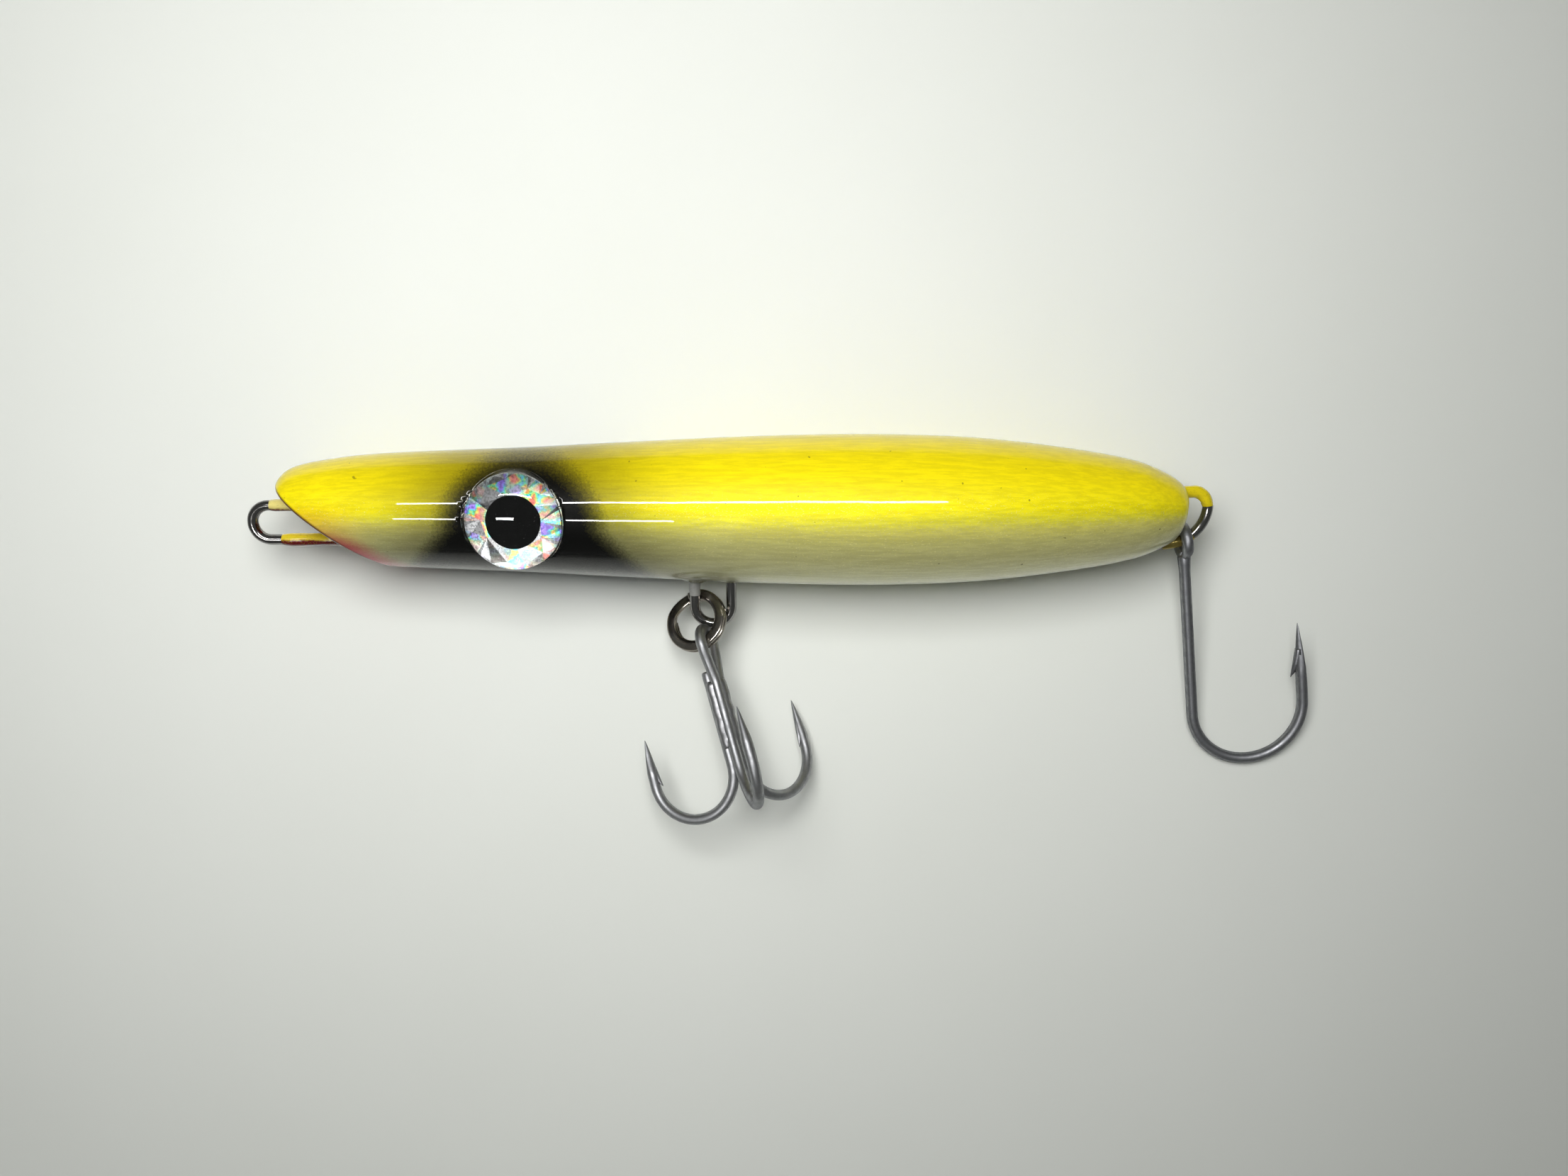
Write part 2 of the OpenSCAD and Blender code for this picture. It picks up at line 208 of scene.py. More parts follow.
def body_paint():
    m = Mat("body_paint")
    radius = m.math("SQRT", m.math("ADD", m.math("MULTIPLY", m.y, m.y), m.math("MULTIPLY", m.z, m.z)))
    # q is the sine of the angle above the lure's side; the sprayed edge wanders with fine overspray
    mist = m.math("MULTIPLY", m.math("SUBTRACT", m.noise(3.2, 4, 0.75, (0.55, 1, 1)), 0.5), 0.34)
    drift = m.math("MULTIPLY", m.math("SUBTRACT", m.noise(0.06, 2, 0.5), 0.5), 0.10)
    q = m.math("ADD", m.math("ADD", m.math("DIVIDE", m.z, radius), mist), drift)
    q01 = m.math("MULTIPLY_ADD", q, 0.5, 0.5, clamp=True)
    side = m.ramp(q01, [
        (0.00, srgb(232, 230, 200)), (0.10, srgb(214, 213, 168)), (0.26, srgb(204, 201, 142)),
        (0.38, srgb(208, 204, 126)), (0.46, srgb(222, 215, 108)), (0.53, srgb(238, 230, 60)),
        (0.60, srgb(250, 236, 2)), (0.80, srgb(248, 228, 0)), (1.00, srgb(238, 216, 0))])
    # Golden tint towards the nose
    low_side = m.math("MULTIPLY", m.step(q, 0.45, 0.0), m.step(q, -0.75, -0.2))
    gold = m.math("MULTIPLY", m.step(m.x, 22, 5), low_side)
    col = m.mix(m.math("MULTIPLY", gold, 0.75), side, srgb(246, 196, 0))
    # Pearl flakes
    flake = m.noise(5.5, 2, 0.6, (0.5, 1, 1))
    shine = m.math("MULTIPLY", m.step(flake, 0.60, 0.72), m.step(q, 0.55, 0.1))
    col = m.mix(m.math("MULTIPLY", shine, 0.55), col, srgb(250, 244, 170))
    grain = m.noise(1.6, 4, 0.7, (0.10, 1, 1))
    col = m.mix(m.step(grain, 0.62, 0.38, 0.0, 0.16), col, srgb(120, 104, 0), "MULTIPLY")
    # Airbrushed black round the eyes, beside and below them, and olive above; the dark reaches further
    # below the lure's middle, partly as painted shade and painted dark reflection towards the body's lower
    # edge
    dx = m.math("SUBTRACT", m.x, 46.0)
    up = m.math("MULTIPLY", m.math("MAXIMUM", m.math("ADD", m.z, 1.5), 0.0), 1.12)
    # Below the middle the dark stretches further: airbrushed black and painted shade together
    down = m.math("MULTIPLY", m.math("MAXIMUM", m.math("SUBTRACT", -1.5, m.z), 0.0), 0.85)
    far = m.math("SQRT", m.math("ADD", m.math("MULTIPLY", dx, dx), m.math("MULTIPLY", up, up)))
    spray = m.math("MULTIPLY", m.math("SUBTRACT", m.noise(2.6, 4, 0.8), 0.5), 4.5)
    far = m.math("SUBTRACT", m.math("ADD", far, spray), down)
    eye_black_and_shade = m.ramp(m.math("DIVIDE", far, 40, clamp=True), [
        (at, (shade,) * 3) for at, shade in ((0.28, 0.001), (0.32, 0.05), (0.36, 0.19), (0.40, 0.40),
                                             (0.47, 0.50), (0.56, 0.68), (0.70, 0.86), (0.9, 1))])
    col = m.mix(1.0, col, eye_black_and_shade, "MULTIPLY")
    # Red face and its fade along the chin, and painted shade on the rim's rounding
    behind = m.math("ADD", m.math("MULTIPLY", m.x, math.sin(FACE_ANGLE)),
                    m.math("MULTIPLY", m.math("SUBTRACT", m.z, FACE_TOP), math.cos(FACE_ANGLE)))
    mist2 = m.math("MULTIPLY", m.math("SUBTRACT", m.noise(3.0, 4, 0.8), 0.5), 3.0)
    chin = m.math("MULTIPLY", m.step(m.math("ADD", behind, mist2), 4.6, 0.4), m.step(m.z, -0.5, -5.0))
    col = m.mix(m.math("MULTIPLY", chin, 0.85), col, srgb(176, 40, 74))
    # Dark brown band on the rim's rounding: painted shade where the rim turns onto the face
    col = m.mix(m.step(behind, 0.85, 0.35), col, srgb(84, 34, 8))
    col = m.mix(m.step(behind, 0.16, 0.06), col, srgb(176, 14, 18))
    # A brown line along both edges of the belly slot near the tail, and odd specks under the clear coat
    off_edge = m.math("ABSOLUTE", m.math("SUBTRACT", m.math("ABSOLUTE", m.y), SLOT_W / 2))
    slot_edge_line = m.math("MULTIPLY", m.step(off_edge, 0.22, 0.08),
                  m.math("MULTIPLY", m.step(m.x, 138, 150), m.step(m.z, -2.0, -3.0)))
    col = m.mix(m.math("MULTIPLY", slot_edge_line, 0.6), col, srgb(105, 80, 40))
    speck = m.step(m.noise(0.9, 1, 0.5), 0.775, 0.80)
    col = m.mix(m.math("MULTIPLY", speck, 0.6), col, srgb(70, 60, 10))
    m.set(Base_Color=col, Roughness=m.step(flake, 0.3, 0.7, 0.52, 0.36),
          Metallic=m.step(q, 0.45, 0.1, 0.0, 0.28), Specular_IOR_Level=0.12,
          Coat_Weight=1.0, Coat_Roughness=0.015, Coat_IOR=1.42)
    m.bump(m.math("ADD", m.math("MULTIPLY", grain, 0.7), flake), 0.25, 0.05)
    ripple = m.noise(0.16, 2, 0.4, (0.5, 1, 1))
    m.bump(ripple, 0.35, 0.12, coat=True)
    return m.mat


def metal(name, colour, rough, spread, streak=0.0, grain=2.0, dirt=None, height=0.02):
    """Drawn or plated wire: blotchy roughness, fine pits and an optional second tone."""
    m = Mat(name)
    blotch = m.noise(0.7, 4, 0.65)
    fine = m.noise(grain, 3, 0.7)
    col = m.mix(m.step(blotch, 0.35, 0.7, 0.0, 0.7), colour, dirt or tuple(c * 0.7 for c in colour))
    col = m.mix(m.step(fine, 0.55, 0.75, 0.0, streak), col, tuple(min(1, c * 1.5) for c in colour))
    m.set(Base_Color=col, Metallic=1.0, Roughness=m.step(blotch, 0.3, 0.75, rough - spread, rough + spread),
          Specular_Tint=(0.4, 0.4, 0.42, 1))
    m.bump(fine, 0.5, height)
    return m.mat


def resin(name, top, low, split_z, blend, rough=0.12):
    """Paint and epoxy run down a wire: one colour above the wire's middle, another below."""
    m = Mat(name)
    wobble = m.math("MULTIPLY", m.math("SUBTRACT", m.noise(1.4, 3, 0.6), 0.5), blend * 2.5)
    f = m.step(m.math("ADD", m.z, wobble), split_z - blend, split_z + blend)
    speck = m.step(m.noise(3.5, 3, 0.7), 0.55, 0.7, 0.0, 0.55)
    col = m.mix(f, low, top)
    col = m.mix(speck, col, tuple(c * 0.45 for c in top))
    m.set(Base_Color=col, Roughness=m.step(m.noise(1.2, 2), 0.3, 0.7, rough * 0.6, rough * 1.6),
          Coat_Weight=0.8, Coat_Roughness=0.05)
    m.bump(m.noise(1.1, 3, 0.6), 0.5, 0.12)
    return m.mat


def clear(name, tint=(1, 1, 1), rough=0.0, wave=0.02):
    """Cast epoxy: refracts, and lets lamp light through to what lies under it."""
    m = Mat(name)
    m.set(Base_Color=(*tint, 1), Roughness=rough, IOR=1.48, Transmission_Weight=1.0)
    m.bump(m.noise(0.25, 3, 0.5), 0.4, wave)
    path = m.nt.nodes.new("ShaderNodeLightPath")
    see = m.nt.nodes.new("ShaderNodeBsdfTransparent")
    see.inputs[0].default_value = (*(0.96 * c for c in tint), 1)
    both = m.nt.nodes.new("ShaderNodeMixShader")
    m.nt.links.new(path.outputs["Is Shadow Ray"], both.inputs[0])
    m.nt.links.new(m.bsdf.outputs[0], both.inputs[1])
    m.nt.links.new(see.outputs[0], both.inputs[2])
    m.nt.links.new(both.outputs[0], m.out.inputs[0])
    return m.mat


def foil():
    m = Mat("eye_foil")
    a = m.nt.nodes.new("ShaderNodeAttribute")
    a.attribute_name = "shard"
    hue = m.noise(0.55, 2, 0.5)
    bands = m.ramp(hue, [(0.36, (0.9, 0.2, 0.15)), (0.43, (0.9, 0.65, 0.1)), (0.49, (0.15, 0.8, 0.3)),
                         (0.55, (0.1, 0.6, 0.9)), (0.63, (0.35, 0.2, 0.95))])
    col = m.mix(m.math("MULTIPLY", a.outputs["Alpha"], 0.9), a.outputs["Color"], bands)
    crackle = m.noise(2.5, 2, 0.6)
    col = m.mix(m.step(crackle, 0.66, 0.78, 0.0, 0.35), col, (0.95, 0.95, 0.95))
    m.set(Base_Color=col, Metallic=0.65, Roughness=m.step(crackle, 0.3, 0.7, 0.18, 0.4))
    m.bump(crackle, 0.3, 0.03)
    return m.mat


def pupil():
    m = Mat("pupil")
    dust = m.step(m.noise(2.8, 3, 0.75), 0.66, 0.74)
    col = m.mix(m.math("MULTIPLY", dust, 0.22), (0.002, 0.002, 0.002), (0.5, 0.5, 0.5))
    m.set(Base_Color=col, Roughness=m.step(m.noise(1.0), 0.3, 0.7, 0.5, 0.7), Specular_IOR_Level=0.02)
    m.bump(m.noise(2.8, 3, 0.75), 0.3, 0.03)
    return m.mat


def plain(name, a, b, scale, rough, metallic=0.0, height=0.05):
    m = Mat(name)
    n = m.noise(scale, 5, 0.65)
    m.set(Base_Color=m.mix(n, a, b), Metallic=metallic,
          Roughness=m.step(n, 0.3, 0.7, rough * 0.8, min(1, rough * 1.2)))
    m.bump(n, 0.4, height)
    return m.mat


PAINT = body_paint()
HARNESS = metal("harness_wire", (0.34, 0.33, 0.32), 0.14, 0.06, 0.25, 1.6, height=0.01)
NICKEL = metal("ring_wire", (0.50, 0.46, 0.41), 0.19, 0.07, 0.35, 2.2, (0.30, 0.265, 0.22), 0.015)
TIN = metal("treble_wire", (0.47, 0.475, 0.485), 0.46, 0.07, 0.3, 3.0, (0.34, 0.345, 0.355))
TIN2 = metal("tail_hook_wire", (0.34, 0.345, 0.36), 0.46, 0.07, 0.3, 3.2, (0.23, 0.235, 0.25))
BRAZE = metal("braze", (0.45, 0.45, 0.46), 0.44, 0.08, 0.35, 1.8, (0.33, 0.33, 0.34), 0.05)
LENS = clear("lens")
EPOXY = clear("belly_epoxy", (0.93, 0.93, 0.86), 0.03, 0.1)
FOIL = foil()
PUPIL = pupil()
NOSE_UP = resin("nose_coat_upper", srgb(232, 218, 130), srgb(96, 16, 12), 0.35, 0.3)
NOSE_LOW = resin("nose_coat_lower", srgb(222, 196, 40), srgb(92, 8, 10), -5.5, 0.25)
BELLY_COAT = plain("belly_coat", (0.20, 0.20, 0.19), (0.42, 0.42, 0.40), 1.4, 0.5)
TAIL_UP = resin("tail_coat_upper", srgb(228, 206, 10), srgb(176, 150, 20), -2.0, 1.0)
TAIL_LOW = plain("tail_coat_lower", srgb(120, 104, 44), srgb(196, 176, 96), 1.0, 0.16, 0.6)
LEAD = plain("lead", (0.10, 0.10, 0.11), (0.22, 0.22, 0.24), 1.2, 0.55, 0.8)

# ---- mesh helpers ----

def smoothed(values, width):
    k = np.exp(-0.5 * (np.arange(-3 * width, 3 * width + 1) / width) ** 2)
    pad = np.pad(values, 3 * width, mode="reflect", reflect_type="odd")
    return np.convolve(pad, k / k.sum(), "valid")


def piece(name, parts, material, body, slot, *nodes, smooth=True):
    """One object from [(vertices in metres, faces)], riding a body and standing for CAD nodes."""
    verts, faces, at = [], [], 0
    for v, f in parts:
        verts.append(np.asarray(v, float).reshape(-1, 3))
        faces += [tuple(i + at for i in g) for g in f]
        at += len(verts[-1])
    me = bpy.data.meshes.new(name)
    me.from_pydata(np.concatenate(verts).tolist(), [], faces)
    shell = bmesh.new()
    shell.from_mesh(me)
    bmesh.ops.recalc_face_normals(shell, faces=shell.faces)
    shell.to_mesh(me)
    shell.free()
    me.polygons.foreach_set("use_smooth", [smooth] * len(me.polygons))
    me.materials.append(material)
    me.validate()
    me.update()
    o = bpy.data.objects.new(name, me)
    scene.collection.objects.link(o)
    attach(o, body)
    if nodes:
        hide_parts(*nodes)
    return o


def grid(rows, cols, caps=True):
    """Faces of rows x cols points, closed round the columns, with end fans."""
    f = []
    for i in range(rows - 1):
        a, b = i * cols, (i + 1) * cols
        f += [(a + j, a + (j + 1) % cols, b + (j + 1) % cols, b + j) for j in range(cols)]
    if caps:
        f.append(tuple(range(cols))[::-1])
        f.append(tuple((rows - 1) * cols + j for j in range(cols)))
    return f


def frames(path, up=None):
    """Tangent and two normals along a path; up fixes the second normal on a flat path."""
    t = np.gradient(path, axis=0)
    t /= np.linalg.norm(t, axis=1)[:, None]
    if up is not None:
        e2 = np.tile(np.asarray(up, float), (len(path), 1))
        e1 = np.cross(e2, t)
        return t, e1 / np.linalg.norm(e1, axis=1)[:, None], e2
    n = np.cross(t[0], [0.3, 0.9, 0.31])
    n /= np.linalg.norm(n)
    e1 = [n]
    for i in range(1, len(path)):
        n = n - t[i] * np.dot(n, t[i])
        n /= np.linalg.norm(n)
        e1.append(n)
    e1 = np.array(e1)
    return t, e1, np.cross(t, e1)


def tube(path, radius, sides=24, up=None, shape=None, dome=True):
    """Sweep of a round section; shape(i, angles) gives the points of odd ones, and dome rounds the ends."""
    path = np.asarray(path, float)
    r = np.broadcast_to(np.asarray(radius, float), (len(path),)).copy()
    if dome:
        d0, d1 = path[0] - path[1], path[-1] - path[-2]
        d0, d1 = d0 / np.linalg.norm(d0), d1 / np.linalg.norm(d1)
        cap = [(0.25, 0.93), (0.40, 0.75), (0.48, 0.4)]
        path = np.vstack([[path[0] + d0 * r[0] * h for h, _ in cap[::-1]], path,
                          [path[-1] + d1 * r[-1] * h for h, _ in cap]])
        r = np.concatenate([[r[0] * k for _, k in cap[::-1]], r, [r[-1] * k for _, k in cap]])
    _, e1, e2 = frames(path, up)
    a = np.linspace(0, 2 * math.pi, sides, endpoint=False)
    out = []
    for i in range(len(path)):
        c = shape(i, a) if shape else np.stack([np.cos(a), np.sin(a)], 1)
        out.append(path[i] + r[i] * (c[:, :1] * e1[i] + c[:, 1:] * e2[i]))
    return np.concatenate(out), grid(len(path), sides)


def arc(cx, cz, r, a0, a1, n):
    a = np.radians(np.linspace(a0, a1, n))
    return np.stack([cx + r * np.cos(a), 0 * a, cz + r * np.sin(a)], 1)


def line(x0, z0, x1, z1, n):
    t = np.linspace(0, 1, n)
    return np.stack([x0 + (x1 - x0) * t, 0 * t, z0 + (z1 - z0) * t], 1)


def chain(*runs):
    """Joins runs and drops doubled points."""
    p = np.vstack(runs)
    keep = np.concatenate([[True], np.linalg.norm(np.diff(p, axis=0), axis=1) > 1e-4])
    return p[keep]


# ---- the turned body ----

# Distance from the nose and radius, as the CAD body has them
STATIONS = [(0, 4.6), (1, 6.6), (3, 7.9), (7, 8.9), (17, 10.2), (45, 11.4), (80, 13.15), (107, 13.8),
            (128, 13.05), (145, 11.05), (156, 8.9), (161, 6.9), (163.6, 5.3), (BODY_LEN, 3.6)]


def make_profile():
    xs, rs = np.array(STATIONS, float).T
    n = len(xs)
    ahead, behind = np.minimum(np.arange(n) + 1, n - 1), np.maximum(np.arange(n) - 1, 0)
    sl = (rs[ahead] - rs[behind]) / (xs[ahead] - xs[behind])
    x = np.linspace(0, BODY_LEN, 1653)
    i = np.clip(np.searchsorted(xs, x, "right") - 1, 0, n - 2)
    w = xs[i + 1] - xs[i]
    t = (x - xs[i]) / w
    r = ((2 * t**3 - 3 * t**2 + 1) * rs[i] + (t**3 - 2 * t**2 + t) * w * sl[i]
         + (3 * t**2 - 2 * t**3) * rs[i + 1] + (t**3 - t**2) * w * sl[i + 1])
    # Turning leaves no kinks: smooth the middle, keep the quick curves at both ends
    soft = smoothed(r, 35)
    k = np.clip((x - 8) / 8, 0, 1) * np.clip((152 - x) / 8, 0, 1)
    return x, r * (1 - k) + soft * k


PX, PR = make_profile()


def section(xa, k, angles, inset=0.0):
    """Outline of the lathe shape in the plane x = xa + k z, as lure points."""
    s, c = np.sin(angles), np.cos(angles)
    lo, hi = np.zeros_like(angles), np.full_like(angles, 16.0)
    for _ in range(40):
        mid = (lo + hi) / 2
        inside = np.interp(xa + k * mid * s, PX, PR) > mid
        lo, hi = np.where(inside, mid, lo), np.where(inside, hi, mid)
    rho = lo - inset
    return np.stack([xa + k * rho * s, rho * c, rho * s], 1)


EYE_X, SEAT, LENS_R, DOME_Y, PUPIL_R = 44.6, 9.6, 8.7, 9.9, 4.5


def body_mesh():
    cols = 208
    ang = np.linspace(0, 2 * math.pi, cols, endpoint=False)
    k0, k1 = -1 / ENDS[0], ENDS[1]
    # Where the planes of the face and the tail's end cross the axis
    xa0, xa1 = FACE_TOP / ENDS[0], BODY_LEN - ENDS[1] * 3.35
    t = np.concatenate([np.linspace(0.9, 4, 10), np.linspace(4.6, 150, 250),
                        np.linspace(150.5, xa1 - xa0 - 1.0, 24)])
    sides = []
    for a in t:
        u = np.clip(a / 42, 0, 1)
        v = np.clip((a - 140) / (xa1 - xa0 - 140), 0, 1)
        k = k0 * (1 - u * u * (3 - 2 * u)) + k1 * v * v * (3 - 2 * v)
        sides.append(section(xa0 + a, k, ang))

    def rounded(edge, side, inner):
        w = np.linspace(0, 1, 9)[:, None, None]
        return list((1 - w) ** 2 * side + 2 * w * (1 - w) * edge + w * w * inner)

    def cap(edge, shrink, bulge, axis):
        """Rings from the rim to the middle, with a little unevenness."""
        mid = edge.mean(0)
        rings = []
        for f in (0.9, 0.75, 0.55, 0.35, 0.18, 0.06):
            ring = mid + (edge - mid) * f * shrink
            rings.append(ring + np.outer(np.full(cols, bulge * (1 - f * f)), axis))
        return rings

    face = section(xa0, k0, ang)
    tail = section(xa1, k1, ang)
    fm, tm = face.mean(0), tail.mean(0)
    f_in, t_in = fm + (face - fm) * 0.90, tm + (tail - tm) * 0.72
    inward = np.array([math.sin(FACE_ANGLE), 0, math.cos(FACE_ANGLE)])
    rings = cap(face, 0.9, 0.35, inward)[::-1]
    rings += rounded(face, sides[0], f_in)[::-1][:-1]
    rings += sides
    rings += rounded(tail, sides[-1], t_in)[1:]
    rings += cap(tail, 0.72, 0.25, np.array([1.0, 0, -ENDS[1]]))
    v = np.concatenate(rings)
    # Flat seats under the eyes
    near = (v[:, 0] - EYE_X) ** 2 + v[:, 2] ** 2 < (LENS_R + 0.05) ** 2
    v[near, 1] = np.clip(v[near, 1], -SEAT + 0.02, SEAT - 0.02)
    # The brush and drips leave the coat slightly uneven
    round_ = np.cos(np.arctan2(v[:, 2:], v[:, 1:2]) * 2 + v[:, :1] * 0.05)
    v[:, 1:] *= 1 + 0.0016 * np.sin(v[:, :1] * 0.23 + 1.3) * round_
    return lure(v), grid(len(rings), cols)


def surface_y(x, z):
    """Half-breadth of the body at a height z over its axis."""
    r = np.interp(x, PX, PR)
    return np.sqrt(np.maximum(r * r - np.asarray(z) ** 2, 0))


piece("body_shell", [body_mesh()], PAINT, "plug", "body_paint",
      "wood_body", "slot_filler", "belly_weight_cap", "tail_weight_cap")

# ---- eyes ----

def on_side(p, side):
    """Eye frame (x, z across the disc, third is height from the lure's middle) to row metres."""
    p = np.asarray(p, float)
    return lure(np.stack([EYE_X + p[:, 0], side * p[:, 2], p[:, 1]], 1))


def lens_mesh(side):
    cols, apex, n = 128, 13.6, 2.15
    a = np.linspace(0, 2 * math.pi, cols, endpoint=False)
    ca, sa = np.cos(a), np.sin(a)
    rings = []
    for f in (0.02, 0.1, 0.2, 0.3, 0.4, 0.5, 0.6, 0.68, 0.76, 0.83, 0.89, 0.935, 0.965, 0.985, 0.997):
        h = DOME_Y + (apex - DOME_Y) * (1 - f ** n) ** (1 / n)
        rings.append(np.stack([f * LENS_R * ca, f * LENS_R * sa, np.full(cols, h)], 1))
    low = np.minimum(surface_y(EYE_X + LENS_R * ca, LENS_R * sa) - 0.12, SEAT + 0.02)
    for w in (0.15, 0.5, 0.85, 1.0):
        rings.append(np.stack([LENS_R * ca, LENS_R * sa, 9.8 + (low - 9.8) * w], 1))
    for f in (0.95, 0.5, 0.03):
        rings.append(np.stack([f * LENS_R * ca, f * LENS_R * sa, np.full(cols, SEAT + 0.03)], 1))
    return on_side(np.concatenate(rings), side), grid(len(rings), cols)


FOIL_Y = 9.72
# Where the foil throws rainbows: bearing and spread in radians
RAINBOWS = ((-0.2, 0.5), (-0.75, 0.35), (0.95, 0.45), (2.9, 0.4), (3.5, 0.3), (-1.5, 0.35), (1.7, 0.25))


def foil_mesh(side, seed):
    """Shards of foil, each with its own slight tilt, colour and share of rainbow."""
    r = np.random.default_rng(seed)
    ring_r = 7.98
    around = np.linspace(0, 2 * math.pi, 72, endpoint=False)
    edge = [(ring_r * math.cos(a), ring_r * math.sin(a)) for a in around]
    inner = []
    while len(inner) < 24:
        p = r.uniform(-7.4, 7.4, 2)
        if np.hypot(*p) < 7.2 and all(np.hypot(*(p - q)) > 1.9 for q in inner):
            inner.append(p)
    pts = [Vector(p) for p in edge + [tuple(p) for p in inner]]
    out = delaunay_2d_cdt(pts, [], [list(range(72))], 1, 1e-4)
    verts, faces, colours = [], [], []
    for tri in out[2]:
        c = [out[0][i] for i in tri]
        mx, mz = sum(p.x for p in c) / len(c), sum(p.y for p in c) / len(c)
        tilt = r.normal(0, 0.03, 2)
        at = len(verts)
        for p in c:
            rise = tilt[0] * (p.x - mx) + tilt[1] * (p.y - mz)
            verts.append((p.x, p.y, FOIL_Y + np.clip(rise, -0.06, 0.06)))
        faces.append(tuple(range(at, at + len(c))))
        turn_ = math.atan2(mz, mx)
        rain = 0.0
        for centre, spread in RAINBOWS:
            d = (turn_ - centre + math.pi) % (2 * math.pi) - math.pi
            rain = max(rain, math.exp(-(d / spread) ** 2))
        rain = rain * r.choice([0.0, 0.35, 1.0], p=[0.35, 0.25, 0.4])
        # The grey carries painted light and shade: darker towards the back, lighter towards the belly, on a
        # random spread per shard
        grey = float(np.clip(r.normal(0.25 - 0.012 * mz, 0.14), 0.04, 0.75))
        colours.append((grey * 0.98, grey, grey * 1.02, rain))
    v = on_side(np.array(verts), side)
    disc = np.array([(ring_r * math.cos(a), ring_r * math.sin(a), h) for h in (9.6, 9.64)
                     for a in around])
    return v, faces, colours, (on_side(disc, side), grid(2, 72))


for side, tag, seed in ((-1, "near", 5), (1, "far", 9)):
    piece(f"eye_dome_{tag}", [lens_mesh(side)], LENS, "plug", "lens", f"eye_lens_{tag}")
    v, f, cols_, backing = foil_mesh(side, seed)
    o = piece(f"eye_shards_{tag}", [(v, f), backing], FOIL, "plug", "eye_foil", f"eye_foil_{tag}",
              smooth=False)
    att = o.data.color_attributes.new("shard", "FLOAT_COLOR", "CORNER")
    data = []
    for poly in o.data.polygons:
        c = cols_[poly.index] if poly.index < len(cols_) else (0.4, 0.4, 0.4, 0.0)
        data += list(c) * poly.loop_total
    att.data.foreach_set("color", data)
    a = np.linspace(0, 2 * math.pi, 96, endpoint=False)
    rp = PUPIL_R * (1 + 0.004 * np.sin(3 * a) + 0.003 * np.sin(7 * a))
    rows = [(0.04, 9.90), (0.5, 9.90), (0.93, 9.89), (1.0, 9.85), (1.0, 9.79)]
    pv = [np.stack([rp * k * np.cos(a), rp * k * np.sin(a), np.full(96, h)], 1) for k, h in rows]
    piece(f"eye_pupil_disc_{tag}", [(on_side(np.concatenate(pv), side), grid(5, 96))], PUPIL, "plug",
          "pupil", f"eye_pupil_{tag}")
    # Epoxy bead that runs round the lens where it meets the paint
    bead = []
    for i in range(128):
        b = 2 * math.pi * i / 128
        x, z = (LENS_R + 0.12) * math.cos(b), (LENS_R + 0.12) * math.sin(b)
        bead.append((x, z, float(surface_y(EYE_X + x, z)) + 0.02))
    bead = on_side(np.array(bead + bead[:1]), side) * 1000
    b = np.linspace(0, 2 * math.pi, 129)
    br = 0.17 + 0.05 * np.sin(b * 3) + 0.03 * np.sin(b * 7)
    bv, bf = tube(bead, br, 12, dome=False)
    piece(f"eye_bead_{tag}", [(bv / 1000, bf[:-2])], EPOXY, "plug", "lens")

# ---- through wire ----

# Heights of the wire's three runs, then the belly loop's two legs and the middle of its bottom bend
RUN_NOSE, RUN_LOW, RUN_TAIL = 0.8, -5.6, 3.35
LEG_AHEAD, LEG_BEHIND, LOOP_Z = 75.2, 82.0, -18.3
# Middles of the tail loop's small and wide arcs, and where the wide arc runs out into the lower leg
TX, TZ, WX, WZ = 166.3, 0.35, 166.3 - 4 * math.cos(math.radians(5)), 0.35 + 4 * math.sin(math.radians(5))
LX, LZ = WX + 7 * math.cos(math.radians(-80)), WZ + 7 * math.sin(math.radians(-80))
leg = np.array([math.cos(math.radians(-170)), math.sin(math.radians(-170))])
wire_path = chain(
    line(24, RUN_LOW, TIE, RUN_LOW, 40), arc(TIE, TIE, 3.2, 270, 90, 48),
    line(TIE, RUN_NOSE, 72.7, RUN_NOSE, 60), arc(72.7, -1.7, 2.5, 90, 0, 12),
    line(LEG_AHEAD, -1.7, LEG_AHEAD, LOOP_Z, 40), arc(78.6, LOOP_Z, 3.4, 180, 360, 48),
    line(LEG_BEHIND, LOOP_Z, LEG_BEHIND, 0.85, 40), arc(84.5, 0.85, 2.5, 180, 90, 12),
    line(84.5, RUN_TAIL, TX, RUN_TAIL, 60),
    arc(TX, TZ, 3.0, 90, -5, 32), arc(WX, WZ, 7.0, -5, -80, 36),
    line(LX, LZ, LX + 15 * leg[0], LZ + 15 * leg[1], 30))
wv, wf = tube(wire_path, WIRE / 2, 28, up=(0, 1, 0))
piece("through_wire", [(lure(wv), wf)], HARNESS, "plug", "harness_wire", "wire_harness")


def sleeve(name, path, thick, material, slot, node, seed):
    """Uneven coat round the wire, feathered at its ends."""
    r = np.random.default_rng(seed)
    n, sides = len(path), 28
    u = np.linspace(0, 1, n)
    start, end = (np.clip(w / 0.12, 0, 1) ** 0.6 * 0.9 * (1 - w) for w in (u, 1 - u))
    feather = np.clip((start + end) * 1.2, 0.02, 1)
    ph = r.uniform(0, 6.28, 4)
    _, e1, e2 = frames(path, (0, 1, 0))
    a = np.linspace(0, 2 * math.pi, sides, endpoint=False)
    out = []
    for i in range(n):
        lump = (0.6 + 0.25 * np.sin(2 * a + ph[0] + 5 * u[i]) + 0.2 * np.sin(a + ph[1] - 9 * u[i])
                + 0.1 * np.sin(3 * a + ph[2] + 14 * u[i]))
        rad = WIRE / 2 + 0.02 + thick * feather[i] * lump
        out.append(path[i] + rad[:, None] * (np.cos(a)[:, None] * e1[i] + np.sin(a)[:, None] * e2[i]))
    piece(name, [(lure(np.concatenate(out)), grid(n, sides, False))], material, "plug", slot, node)


